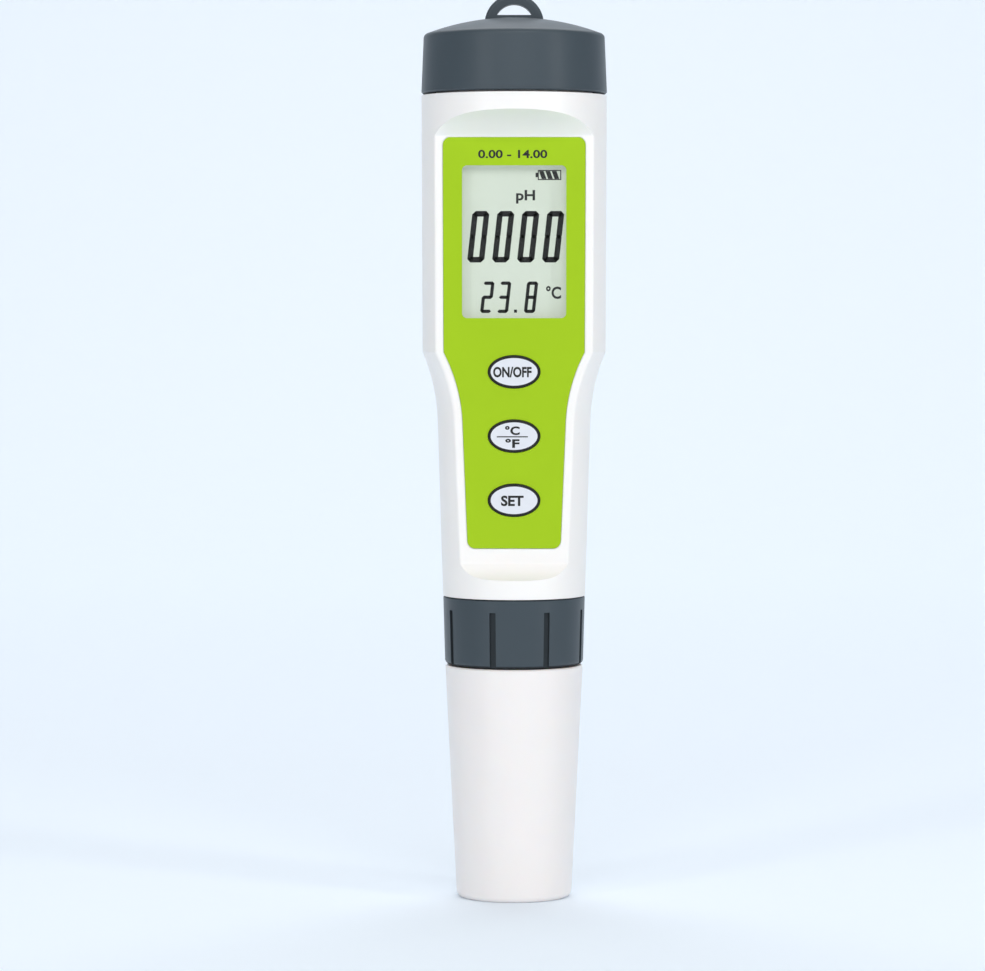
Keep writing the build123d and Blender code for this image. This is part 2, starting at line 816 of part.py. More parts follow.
def storage_sponge():
    """Damp sponge on the floor of the storage cap."""
    radius = storage_floor_radius - sponge_clearance
    return rod(radius, storage_cap_floor, storage_cap_floor + sponge_height)


def cap_gasket():
    """Flat rubber ring between the neck and the ceiling of the lid."""
    low = neck_high + face_gap
    inner = neck_bore + flange_overlap + gasket_inset
    return tube(lid_bore - gasket_inset, inner, low, low + gasket_thickness)


def lanyard_loop():
    """Flat ring that rises out of the dome, with a D-shaped eye."""
    middle = Pos(0, loop_height)
    plate = extrude(Plane.XZ * (middle * Circle(loop_radius)), loop_thickness / 2, both=True)
    plate = fillet(plate.edges().filter_by(GeomType.CIRCLE), loop_edge)
    eye = middle * Circle(loop_hole_radius)
    floor = lid_apex + loop_floor
    above = Pos(0, floor + loop_radius) * Rectangle(4 * loop_radius, 2 * loop_radius)
    plate -= extrude(Plane.XZ * (eye & above), loop_thickness, both=True)
    keep = lid_ceiling + lid_recess_depth + loop_root_cover
    return plate & block(4 * loop_radius, 2 * loop_thickness, keep, keep + 2 * loop_radius)


def battery_cap():
    """Screw lid: domed skirt with a thread ridge inside and the lanyard loop on top."""
    top_radius = lid_radius - lid_taper
    dome_radius = (top_radius**2 + lid_dome**2) / (2 * lid_dome)
    outline = make_face(Curve() + [
        Line((0, lid_low), (lid_radius, lid_low)),
        Line((lid_radius, lid_low), (top_radius, lid_rim)),
        RadiusArc((top_radius, lid_rim), (0, lid_apex), -dome_radius),
        Line((0, lid_apex), (0, lid_low)),
    ])
    rim = outline.vertices().filter_by(lambda v: abs(v.X - top_radius) < 0.01)
    lid = revolve(Plane.XZ * fillet(rim, lid_edge), Axis.Z)
    foot = lid.edges().filter_by(GeomType.CIRCLE).filter_by_position(Axis.Z, lid_low, lid_low)
    lid = chamfer(foot, edge_bevel)
    lid += lanyard_loop()
    lid -= rod(lid_bore, lid_low, lid_ceiling)
    lid -= rod(neck_bore - lid_recess_margin, lid_ceiling, lid_ceiling + lid_recess_depth)
    low = lid_thread_low + thread_pitch / 2
    return lid + ridge(lid_bore, lid_thread_height, low, lid_thread_length, True)


parts = {
    "main_housing": main_housing(),
    "front_label": front_label(),
    "display_window": display_window(),
    "display_frame": display_frame(),
    "display_front_glass": glass_plate(glass_face, glass_thickness, 0),
    "display_rear_glass": glass_plate(rear_glass_face, glass_thickness, glass_ledge),
    "display_reflector": glass_plate(reflector_face, reflector_thickness, glass_ledge),
    "zebra_connector": zebra_connector(),
    "main_board": main_board(),
    "controller_chip": controller_chip(),
    "board_components": board_components(),
    "key_switches": key_switches(),
    "board_screws": board_screws(),
    "battery_cradle": battery_cradle(),
    "cradle_screws": cradle_screws(),
    "positive_contact": battery_contact(-1),
    "negative_contact": battery_contact(1),
    "socket_block": socket_block(),
    "socket_contacts": socket_contacts(),
    "electrode_housing": electrode_housing(),
    "plug_pins": plug_pins(),
    "plug_seal": seal_ring(spigot_bore, plug_seal_height),
    "storage_seal": seal_ring(storage_bore, storage_seal_height),
    "glass_electrode": glass_electrode(),
    "silver_wire": silver_wire(),
    "reference_junction": sensor_rod(junction_radius, 2, junction_reach),
    "conductivity_pins": conductivity_pins(),
    "temperature_probe": sensor_rod(temperature_radius, 3, sensor_reach),
    "probe_guard": probe_guard(),
    "locking_collar": locking_collar(),
    "storage_cap": storage_cap(),
    "storage_sponge": storage_sponge(),
    "cap_gasket": cap_gasket(),
    "battery_cap": battery_cap(),
}
for number in range(cell_count):
    parts[f"battery_cell_{number + 1}"] = battery_cell(number)
for name, height in zip(("set", "unit", "power"), key_heights):
    parts[f"{name}_key"] = key_cap(height)
    parts[f"{name}_plunger"] = key_plunger(height)

os.makedirs("parts", exist_ok=True)
for name, shape in parts.items():
    export_step(shape, f"parts/{name}.step")
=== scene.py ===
"""Finishes, display marks and studio for the water quality test pen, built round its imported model."""
import logging
from collections.abc import Mapping, Sequence
from dataclasses import dataclass, field
from enum import Enum
from math import pi, radians
from typing import Any

import bmesh
import bpy
from mathutils import Matrix, Vector


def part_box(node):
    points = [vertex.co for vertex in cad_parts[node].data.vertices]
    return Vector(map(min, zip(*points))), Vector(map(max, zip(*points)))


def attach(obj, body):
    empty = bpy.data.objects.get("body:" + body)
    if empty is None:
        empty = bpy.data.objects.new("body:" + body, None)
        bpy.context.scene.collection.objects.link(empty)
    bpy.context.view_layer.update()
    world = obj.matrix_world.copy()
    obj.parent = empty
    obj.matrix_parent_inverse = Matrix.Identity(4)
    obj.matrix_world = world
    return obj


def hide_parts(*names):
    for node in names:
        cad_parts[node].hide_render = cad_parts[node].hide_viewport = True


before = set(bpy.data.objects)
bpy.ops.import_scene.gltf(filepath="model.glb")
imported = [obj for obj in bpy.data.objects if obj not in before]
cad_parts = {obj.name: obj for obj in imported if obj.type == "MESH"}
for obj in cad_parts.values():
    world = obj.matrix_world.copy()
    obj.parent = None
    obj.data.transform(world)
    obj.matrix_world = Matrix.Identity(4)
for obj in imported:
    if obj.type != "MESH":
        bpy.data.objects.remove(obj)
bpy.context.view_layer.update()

MM = 0.001
Colour = tuple[float, float, float]
log = logging.getLogger("test_pen")


def screen(red: int, green: int, blue: int) -> Colour:
    """The linear colour of a screen colour given in steps of 255."""
    levels = [step / 255 for step in (red, green, blue)]
    return tuple(v / 12.92 if v <= 0.04045 else ((v + 0.055) / 1.055) ** 2.4 for v in levels)


def shaded(colour: Colour, share: float) -> Colour:
    """A colour with each of its levels times a share."""
    return tuple(level * share for level in colour)


SLATE = screen(69, 79, 86)
COLLAR_SLATE = screen(66, 76, 83)


class Wire:
    """One output of a shader node; arithmetic on it adds the Math nodes."""

    def __init__(self, graph: "Graph", socket: bpy.types.NodeSocket) -> None:
        """Keep the graph and the socket that the value comes from."""
        self.graph = graph
        self.socket = socket

    def _maths(self, operation: str, first: Any, second: Any) -> "Wire":
        """Join two values by one Math node."""
        return self.graph.node("ShaderNodeMath", {"operation": operation}, {0: first, 1: second})

    def __add__(self, other: Any) -> "Wire":
        """Sum."""
        return self._maths("ADD", self, other)

    __radd__ = __add__

    def __sub__(self, other: Any) -> "Wire":
        """Difference."""
        return self._maths("SUBTRACT", self, other)

    def __rsub__(self, other: Any) -> "Wire":
        """Difference, the other way round."""
        return self._maths("SUBTRACT", other, self)

    def __mul__(self, other: Any) -> "Wire":
        """Product."""
        return self._maths("MULTIPLY", self, other)

    __rmul__ = __mul__

    def __truediv__(self, other: Any) -> "Wire":
        """Quotient."""
        return self._maths("DIVIDE", self, other)

    def above(self, level: float) -> "Wire":
        """One where the value is above a level, else zero."""
        return self._maths("GREATER_THAN", self, level)

    def axis(self, name: str) -> "Wire":
        """One coordinate of a vector: X, Y or Z."""
        return self.graph.node("ShaderNodeSeparateXYZ", inputs={0: self}, output=name)


class Graph:
    """The node graph of one material."""

    def __init__(self, name: str) -> None:
        """Start an empty material of the given name."""
        self.material = bpy.data.materials.new(name)
        self.material.use_nodes = True
        self.tree = self.material.node_tree
        self.tree.nodes.clear()

    def node(
        self,
        kind: str,
        settings: Mapping[str, Any] | None = None,
        inputs: Mapping[str | int, Any] | None = None,
        output: str | int = 0,
    ) -> Wire:
        """Add a node, set it and feed it.

        Args:
            kind: The node's type.
            settings: Attributes to set first.
            inputs: Values or wires, by the name or number of the socket.
            output: Which output the returned wire carries.

        Returns:
            The wire from the chosen output.
        """
        made = self.tree.nodes.new(kind)
        for name, value in (settings or {}).items():
            setattr(made, name, value)
        for name, value in (inputs or {}).items():
            if isinstance(value, Wire):
                self.tree.links.new(value.socket, made.inputs[name])
            else:
                made.inputs[name].default_value = value
        return Wire(self, made.outputs[output] if len(made.outputs) else None)

    def place(self) -> Wire:
        """Object coordinates, in metres."""
        return self.node("ShaderNodeTexCoord", output="Object")

    def noise(self, grain: float, detail: float = 2.0, stretch: Colour = (1, 1, 1)) -> Wire:
        """Noise whose spots are about one grain wide.

        Args:
            grain: Width of a spot, in metres.
            detail: Octaves of finer noise.
            stretch: Factor on each coordinate before the noise.

        Returns:
            The noise value, from 0 to 1.
        """
        moved = self.node("ShaderNodeMapping", inputs={"Vector": self.place(), "Scale": stretch})
        inputs = {"Vector": moved, "Scale": 1 / grain, "Detail": detail}
        return self.node("ShaderNodeTexNoise", inputs=inputs)

    def bump(self, height: Wire, depth: float) -> Wire:
        """Bump of a height map whose full swing is `depth` metres."""
        return self.node("ShaderNodeBump", inputs={"Height": height, "Distance": depth})

    def blend(self, share: Any, first: Any, second: Any) -> Wire:
        """Mix two colours.

        Args:
            share: How much of the second shows, from 0 to 1.
            first: Colour or wire at 0.
            second: Colour or wire at 1.

        Returns:
            The mixed colour.
        """
        first, second = (v if isinstance(v, Wire) else (*v, 1.0) for v in (first, second))
        inputs = {0: share, 6: first, 7: second}
        return self.node("ShaderNodeMix", {"data_type": "RGBA"}, inputs, output=2)

    def principled(self, **sockets: Any) -> Wire:
        """Add a Principled shader.

        Args:
            **sockets: Values or wires by socket name, with _ for a space.

        Returns:
            The shader.
        """
        inputs = {name.replace("_", " "): value for name, value in sockets.items()}
        if isinstance(inputs["Base Color"], tuple):
            inputs["Base Color"] = (*inputs["Base Color"], 1.0)
        return self.node("ShaderNodeBsdfPrincipled", inputs=inputs)

    def finish(self, surface: Wire) -> bpy.types.Material:
        """Close the graph with its surface shader."""
        self.node("ShaderNodeOutputMaterial", inputs={"Surface": surface})
        return self.material


@dataclass(frozen=True)
class Moulded:
    """Moulded plastic or rubber: faint clouding, a fine spark texture and rubbed gloss."""

    name: str
    colour: Colour
    roughness: float = 0.35
    clouding: float = 0.04
    grain: float = 0.25 * MM
    depth: float = 0.006 * MM
    scatter: float = 0.0
    coat: float = 0.0
    specular: float = 0.5
    glow: float = 0.0

    def make(self) -> bpy.types.Material:
        """Build the material."""
        graph = Graph(self.name)
        dark = shaded(self.colour, 1 - self.clouding)
        cloud = graph.noise(9 * MM, detail=3.0)
        rubbed = graph.noise(3 * MM, detail=4.0, stretch=(1, 1, 0.35))
        texture = graph.noise(self.grain, detail=1.0)
        extra = {"Subsurface_Radius": (1.2 * MM, 0.9 * MM, 0.7 * MM), "Subsurface_Scale": 1.0}
        return graph.finish(graph.principled(
            Base_Color=graph.blend(cloud, dark, self.colour),
            Roughness=self.roughness + 0.08 * (rubbed - 0.5),
            Normal=graph.bump(texture, self.depth),
            Specular_IOR_Level=self.specular,
            Subsurface_Weight=self.scatter,
            Coat_Weight=self.coat,
            Coat_Roughness=0.12,
            Emission_Color=(*self.colour, 1.0),
            Emission_Strength=self.glow,
            **(extra if self.scatter else {}),
        ))


@dataclass(frozen=True)
class Grooved:
    """Moulded plastic of a tapered ring, with painted shade that darkens what lies below its wall, in its
    grooves.
    """

    name: str
    colour: Colour
    top_radius: float
    top: float
    drop: float
    roughness: float = 0.36

    def make(self) -> bpy.types.Material:
        """Build the material."""
        graph = Graph(self.name)
        place = graph.place()
        across, along = place.axis("X"), place.axis("Y")
        squared = across * across + along * along
        radius = graph.node("ShaderNodeMath", {"operation": "SQRT"}, {0: squared})
        wall = self.top_radius - self.drop * (self.top - place.axis("Z"))
        # painted shade: a mask of what lies below the wall, which darkens and roughens the grooves
        sunk = (wall - radius - 0.12 * MM).above(0.0)
        dark = shaded(self.colour, 0.92)
        painted_groove_shade = shaded(self.colour, 0.3)
        plain = graph.blend(graph.noise(9 * MM, detail=3.0), dark, self.colour)
        return graph.finish(graph.principled(
            Base_Color=graph.blend(0.9 * sunk, plain, painted_groove_shade),
            Roughness=self.roughness + 0.3 * sunk,
            Specular_IOR_Level=0.3,
            Normal=graph.bump(graph.noise(0.3 * MM, detail=1.0), 0.006 * MM),
        ))


@dataclass(frozen=True)
class PrintedFilm:
    """Printed plastic film: slightly clouded ink over a fine matt texture."""

    name: str
    colour: Colour
    roughness: float = 0.42

    def make(self) -> bpy.types.Material:
        """Build the material."""
        graph = Graph(self.name)
        darker = shaded(self.colour, 0.93)
        ink = graph.blend(graph.noise(14 * MM, detail=2.0), darker, self.colour)
        matt = graph.noise(0.12 * MM, detail=1.0)
        return graph.finish(graph.principled(
            Base_Color=ink,
            Roughness=self.roughness + 0.06 * (graph.noise(5 * MM) - 0.5),
            Normal=graph.bump(matt, 0.003 * MM),
            Specular_IOR_Level=0.25,
        ))


@dataclass(frozen=True)
class ClearPlastic:
    """Clear lens or thin glass: mostly see-through, with a soft sheen and faint haze."""

    name: str
    colour: Colour
    body: float = 0.1
    roughness: float = 0.06

    def make(self) -> bpy.types.Material:
        """Build the material."""
        graph = Graph(self.name)
        haze = graph.noise(4 * MM, detail=3.0)
        edge = graph.node("ShaderNodeLayerWeight", inputs={"Blend": 0.25}, output="Facing")
        surface = graph.principled(
            Base_Color=self.colour,
            Roughness=self.roughness + 0.03 * haze,
            Specular_IOR_Level=0.5,
        )
        clear = graph.node("ShaderNodeBsdfTransparent")
        share = self.body + 0.3 * edge + 0.02 * haze
        return graph.finish(graph.node("ShaderNodeMixShader", inputs={0: share, 1: clear, 2: surface}))


@dataclass(frozen=True)
class Metal:
    """Plated or drawn metal: fine lines along one axis and slight tarnish."""

    name: str
    colour: Colour
    roughness: float = 0.28
    stretch: Colour = (1.0, 1.0, 0.08)

    def make(self) -> bpy.types.Material:
        """Build the material."""
        graph = Graph(self.name)
        dull = shaded(self.colour, 0.78)
        drawn = graph.noise(0.15 * MM, detail=3.0, stretch=self.stretch)
        return graph.finish(graph.principled(
            Base_Color=graph.blend(graph.noise(2.5 * MM, detail=3.0), dull, self.colour),
            Metallic=1.0,
            Roughness=self.roughness + 0.14 * (drawn - 0.5),
            Normal=graph.bump(drawn, 0.004 * MM),
        ))


@dataclass(frozen=True)
class SolderMask:
    """Green solder mask whose copper tracks show as slightly raised paler lines."""

    name: str = "board_mask"
    colour: Colour = (0.012, 0.105, 0.035)
    track: Colour = (0.03, 0.19, 0.06)
    spacing: float = 1.6 * MM

    def make(self) -> bpy.types.Material:
        """Build the material."""
        graph = Graph(self.name)
        place = graph.place()
        wander = graph.noise(8 * MM, detail=1.0)
        across = place.axis("X") / self.spacing + 5.0 * wander
        stripe = graph.node("ShaderNodeMath", {"operation": "FRACT"}, {0: across})
        tracks = stripe.above(0.72)
        return graph.finish(graph.principled(
            Base_Color=graph.blend(tracks, self.colour, self.track),
            Roughness=0.3 + 0.08 * graph.noise(2 * MM),
            Normal=graph.bump(tracks, 0.02 * MM),
            Coat_Weight=0.3,
        ))


@dataclass(frozen=True)
class OpenCellSponge:
    """Pale open-cell sponge whose pores are painted dark as shade in their hollows."""

    name: str = "open_cell_sponge"
    colour: Colour = (0.80, 0.70, 0.40)
    pore: float = 0.55 * MM

    def make(self) -> bpy.types.Material:
        """Build the material."""
        graph = Graph(self.name)
        inputs = {"Vector": graph.place(), "Scale": 1 / self.pore}
        cells = graph.node("ShaderNodeTexVoronoi", {"feature": "F1"}, inputs, output="Distance")
        # painted shade: darkened towards the middle of each cell, where a pore's hollow lies
        shade = shaded(self.colour, 0.35)
        return graph.finish(graph.principled(
            Base_Color=graph.blend(cells * 1.3, shade, self.colour),
            Roughness=0.92,
            Normal=graph.bump(cells, 0.25 * MM),
            Specular_IOR_Level=0.15,
        ))


@dataclass(frozen=True)
class KeyFace:
    """Printed key: a pale oval inside a black ring, drawn about the key's own centre."""

    name: str
    centre: tuple[float, float]
    half_width: float = 5.25 * MM
    half_height: float = 3.3 * MM
    ring: float = 0.5 * MM
    pale: Colour = screen(228, 230, 236)
    dark: Colour = screen(16, 16, 19)

    def make(self) -> bpy.types.Material:
        """Build the material."""
        graph = Graph(self.name)
        place = graph.place()
        across = (place.axis("X") - self.centre[0]) / (self.half_width - self.ring)
        along = (place.axis("Z") - self.centre[1]) / (self.half_height - self.ring)
        outside = (across * across + along * along).above(1.0)
        shade = shaded(self.pale, 0.94)
        face = graph.blend(graph.noise(2 * MM), shade, self.pale)
        return graph.finish(graph.principled(
            Base_Color=graph.blend(outside, face, self.dark),
            Roughness=0.38 + 0.05 * graph.noise(1 * MM),
            Normal=graph.bump(graph.noise(0.15 * MM, detail=1.0), 0.003 * MM),
            Specular_IOR_Level=0.4,
        ))


def make_finishes() -> dict[str, bpy.types.Material]:
    """Build the finish of each material slot of the record.

    Returns:
        The material of each slot, by the slot's name.
    """
    recipes = {
        "white_plastic": Moulded("white_housing", screen(252, 248, 244), 0.33, 0.02, scatter=0.12),
        "milky_plastic": Moulded("milky_cup", screen(247, 241, 238), 0.3, 0.03, scatter=0.25),
        "green_label": PrintedFilm("green_film", screen(165, 203, 16)),
        "clear_plastic": ClearPlastic("clear_lens", screen(60, 64, 60), 0.04),
        "grey_plastic": Moulded("grey_frame", screen(140, 142, 144), 0.5),
        # the display glass glows a little: painted light that lifts the shade cast into its deep window
        "display_glass": Moulded(
            "filmed_display_glass_painted_glow", screen(214, 223, 208), 0.3, 0.01, depth=0.0, glow=0.28
        ),
        "reflector": PrintedFilm("reflective_film", screen(216, 224, 210)),
        "soft_rubber": Moulded("soft_rubber", screen(44, 44, 46), 0.75, 0.2, depth=0.012 * MM),
        "board": SolderMask(),
        "black_plastic": Moulded("black_plastic", screen(38, 38, 40), 0.5, 0.15),
        "ceramic_parts": Moulded("ceramic_chips", screen(176, 146, 110), 0.55, 0.3, grain=0.6 * MM),
        "steel": Metal("plain_steel", screen(196, 198, 200)),
        "gold_metal": Metal("gold_plating", screen(231, 196, 118), 0.22),
        "cell_steel": Metal("nickel_plated_cell", screen(214, 214, 212), 0.2, (1, 1, 1)),
        "probe_plastic": Moulded("probe_plastic", screen(52, 56, 60), 0.42, 0.12),
        "probe_glass": ClearPlastic("probe_glass", screen(150, 162, 168), 0.16, 0.03),
        "silver": Metal("silver_wire", screen(216, 213, 206), 0.3),
        "white_ceramic": Moulded("porous_ceramic", screen(236, 233, 224), 0.8, 0.08, depth=0.02 * MM),
        "slate_plastic": Moulded("slate_plastic", SLATE, 0.4, 0.08, grain=0.3 * MM, specular=0.3),
        "sponge": OpenCellSponge(),
        "key_plastic": Moulded("key_plastic", screen(215, 218, 225), 0.4),
        "printed_ink": Moulded("black_ink", screen(14, 15, 12), 0.5, 0.1, depth=0.0),
        "display_ink": Moulded("display_marks", screen(10, 11, 12), 0.45, 0.05, depth=0.0),
        "display_grey": Moulded("display_small_marks", screen(44, 46, 45), 0.45, 0.05, depth=0.0),
    }
    return {slot: recipe.make() for slot, recipe in recipes.items()}


@dataclass
class Workshop:
    """Keeps the finishes and turns finished bmeshes into named pieces."""

    finishes: dict[str, bpy.types.Material]

    def keep(
        self,
        shape: bmesh.types.BMesh,
        name: str,
        finish: str,
        body: str,
        slot: str,
        replaces: Sequence[str] = (),
        crease: float | None = radians(35),
    ) -> bpy.types.Object:
        """Turn a bmesh into a piece that rides on a body.

        Args:
            shape: The finished shape, which is freed.
            name: Name of the piece.
            finish: Key of its material.
            body: CAD body that it rides on.
            slot: Slot of the record that its finish stands for; not used.
            replaces: CAD nodes that it stands for.
            crease: Angle from which an edge stays sharp, or None for flat faces.

        Returns:
            The new object.
        """
        bmesh.ops.remove_doubles(shape, verts=shape.verts, dist=1e-7)
        bmesh.ops.recalc_face_normals(shape, faces=shape.faces)
        mesh = bpy.data.meshes.new(name)
        shape.to_mesh(mesh)
        shape.free()
        return self.keep_mesh(mesh, name, finish, body, slot, replaces, crease)

    def keep_mesh(
        self,
        mesh: bpy.types.Mesh,
        name: str,
        finish: str,
        body: str,
        slot: str,
        replaces: Sequence[str] = (),
        crease: float | None = radians(35),
    ) -> bpy.types.Object:
        """Make a piece of a mesh whose place is already in it.

        Args:
            mesh: The finished mesh.
            name: Name of the piece.
            finish: Key of its material.
            body: CAD body that it rides on.
            slot: Slot of the record that its finish stands for; not used.
            replaces: CAD nodes that it stands for.
            crease: Angle from which an edge stays sharp, or None for flat faces.

        Returns:
            The new object.
        """
        mesh.materials.clear()
        mesh.materials.append(self.finishes[finish])
        if crease is not None:
            mesh.shade_smooth()
            mesh.set_sharp_from_angle(angle=crease)
        piece = bpy.data.objects.new(name, mesh)
        bpy.context.scene.collection.objects.link(piece)
        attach(piece, body)
        if replaces:
            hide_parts(*replaces)
        log.info("%s: %d faces on %s", name, len(mesh.polygons), body)
        return piece

    def dress(self, node: str, finish: str) -> None:
        """Give a CAD node its finish."""
        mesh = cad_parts[node].data
        mesh.materials.clear()
        mesh.materials.append(self.finishes[finish])


def letters_mesh(name: str, text: str, font_scale: float = 1.0, bold: float = 0.0) -> bpy.types.Mesh:
    """Turn a word into a mesh in the XY plane.

    Args:
        name: Name of the mesh.
        text: The characters.
        font_scale: Size of the characters.
        bold: How far the outline is thickened.

    Returns:
        The mesh, not yet placed.
    """
    curve = bpy.data.curves.new(name, "FONT")
    curve.body = text
    curve.size = font_scale
    curve.offset = bold
    curve.extrude = 0.5
    curve.resolution_u = 4
    holder = bpy.data.objects.new(name + "_text", curve)
    bpy.context.scene.collection.objects.link(holder)
    bpy.context.view_layer.update()
    graph = bpy.context.evaluated_depsgraph_get()
    mesh = bpy.data.meshes.new_from_object(holder.evaluated_get(graph))
    bpy.data.objects.remove(holder)
    bpy.data.curves.remove(curve)
    mesh.name = name
    return mesh


@dataclass
class Mark:
    """One flat mark on a face that looks towards the reader: its middle, size and thickness."""

    x: float
    z: float
    width: float
    height: float
    face: float
    thickness: float = 0.03 * MM
    sunk: float = 0.01 * MM

    def fit(self, mesh: bpy.types.Mesh) -> bpy.types.Mesh:
        """Stand a flat mesh up on the face and fit it into the mark's box.

        Args:
            mesh: A mesh in the XY plane, one unit thick about it.

        Returns:
            The same mesh, in place.
        """
        low = Vector(map(min, *(v.co for v in mesh.vertices)))
        high = Vector(map(max, *(v.co for v in mesh.vertices)))
        middle, span = (low + high) / 2, high - low
        scale = Matrix.Diagonal((self.width / span.x, self.height / span.y, self.thickness, 1))
        turn = Matrix.Rotation(pi / 2, 4, "X")
        depth = self.face + self.sunk - self.thickness / 2
        move = Matrix.Translation((self.x, depth, self.z))
        mesh.transform(move @ turn @ scale @ Matrix.Translation(-middle))
        return mesh


class Segment(Enum):
    """The seven bars of a display digit: middle across, middle up and whether it stands."""

    TOP = (0.5, 1.0, False)
    UPPER_LEFT = (0.0, 0.75, True)
    UPPER_RIGHT = (1.0, 0.75, True)
    MIDDLE = (0.5, 0.5, False)
    LOWER_LEFT = (0.0, 0.25, True)
    LOWER_RIGHT = (1.0, 0.25, True)
    BOTTOM = (0.5, 0.0, False)


LIT = {
    "0": (Segment.TOP, Segment.UPPER_LEFT, Segment.UPPER_RIGHT, Segment.LOWER_LEFT,
          Segment.LOWER_RIGHT, Segment.BOTTOM),
    "2": (Segment.TOP, Segment.UPPER_RIGHT, Segment.MIDDLE, Segment.LOWER_LEFT, Segment.BOTTOM),
    "3": (Segment.TOP, Segment.UPPER_RIGHT, Segment.MIDDLE, Segment.LOWER_RIGHT, Segment.BOTTOM),
    "8": tuple(Segment),
}


@dataclass
class Digit:
    """A slanted seven-bar digit with narrow gaps between its pointed bars."""

    left: float
    low: float
    width: float
    height: float
    bar: float
    gap: float
    slant: float = 0.11
    point_share: float = 0.48

    def draw(self, shape: bmesh.types.BMesh, figure: str, face: float, thickness: float) -> None:
        """Add the lit bars of a figure to a bmesh.

        Args:
            shape: The bmesh that takes the bars.
            figure: The figure to show.
            face: Depth of the glass face.
            thickness: How far the bars stand out of it.
        """
        lean = self.slant * self.height
        across = self.width - lean - self.bar
        up = self.height - self.bar
        for segment in LIT[figure]:
            place_x, place_z, stands = segment.value
            length = (up / 2 if stands else across) + self.bar - 2 * self.gap
            box = bmesh.ops.create_cube(shape, size=1.0)["verts"]
            bmesh.ops.scale(shape, verts=box, vec=(length, thickness, self.bar))
            ends = {e for v in box for e in v.link_edges if self._runs_deep(e)}
            cut = bmesh.ops.bevel(
                shape, geom=list(ends), offset=self.bar * self.point_share, affect="EDGES", segments=1,
                profile=0.5, material=-1, clamp_overlap=True,
            )
            made = list({v for f in cut["faces"] for v in f.verts} | {v for v in box if v.is_valid})
            if stands:
                bmesh.ops.rotate(shape, verts=made, matrix=Matrix.Rotation(pi / 2, 3, "Y"))
            x = self.left + self.bar / 2 + place_x * across
            z = self.low + self.bar / 2 + place_z * up
            bmesh.ops.translate(shape, verts=made, vec=(x, face - thickness / 2, z))
            for vert in made:
                vert.co.x += self.slant * (vert.co.z - self.low)

    @staticmethod
    def _runs_deep(edge: bmesh.types.BMEdge) -> bool:
        """Whether an edge runs from the front of the bar to its back."""
        run = edge.verts[0].co - edge.verts[1].co
        return abs(run.y) > max(abs(run.x), abs(run.z))


